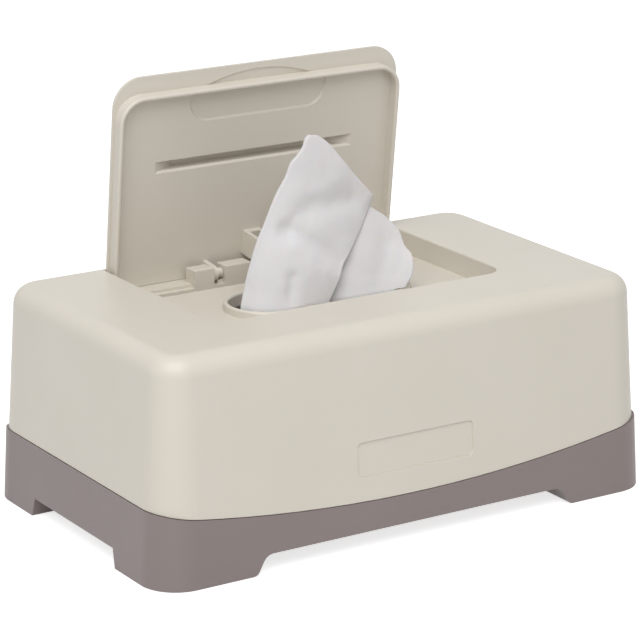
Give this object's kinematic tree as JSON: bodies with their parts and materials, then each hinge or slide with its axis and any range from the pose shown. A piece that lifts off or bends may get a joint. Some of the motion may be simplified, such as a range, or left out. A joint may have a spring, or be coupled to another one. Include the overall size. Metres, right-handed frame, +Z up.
{
  "type": "baby wipes box",
  "caption": "Footed wipes box with a lift-off cover, a flip lid over a lipped dispensing slot, and a folded pack of wipes with one drawn up through the slot.",
  "frame": {"origin": "on the table under the middle of the box", "axes": "+X along the length, to the right of someone facing the front; -Y to the front, where the lid opens from; +Z up"},
  "size_m": [0.23, 0.14, 0.1688],
  "materials": {
    "tray_plastic": "satin moulded, taupe",
    "cover_plastic": "satin moulded, warm cream",
    "pad_rubber": "soft matt, taupe grey",
    "pin_steel": "drawn wire",
    "wipe_cloth": "damp nonwoven, white"
  },
  "bodies": {
    "root": {"base_tray": "tray_plastic", "foot_pad_front_left": "pad_rubber", "foot_pad_front_right": "pad_rubber", "foot_pad_rear_left": "pad_rubber", "foot_pad_rear_right": "pad_rubber", "wipe_stack": "wipe_cloth", "wipe_sheet": "wipe_cloth"},
    "cover": {"top_cover": "cover_plastic", "hinge_pin_left": "pin_steel", "hinge_pin_right": "pin_steel"},
    "lid": {"lid": "cover_plastic"}
  },
  "joints": [
    {"name": "cover_lift", "type": "slide", "parent": "root", "child": "cover", "axis": [0, 0, 1], "range_m": [0, 0.1]},
    {"name": "lid_hinge", "type": "hinge", "parent": "cover", "child": "lid", "pos_m": [0, 0.0495, 0.0823], "axis": [-1, 0, 0], "range_deg": [-83.25, 0], "deforming": ["wipe_sheet"]}
  ]
}
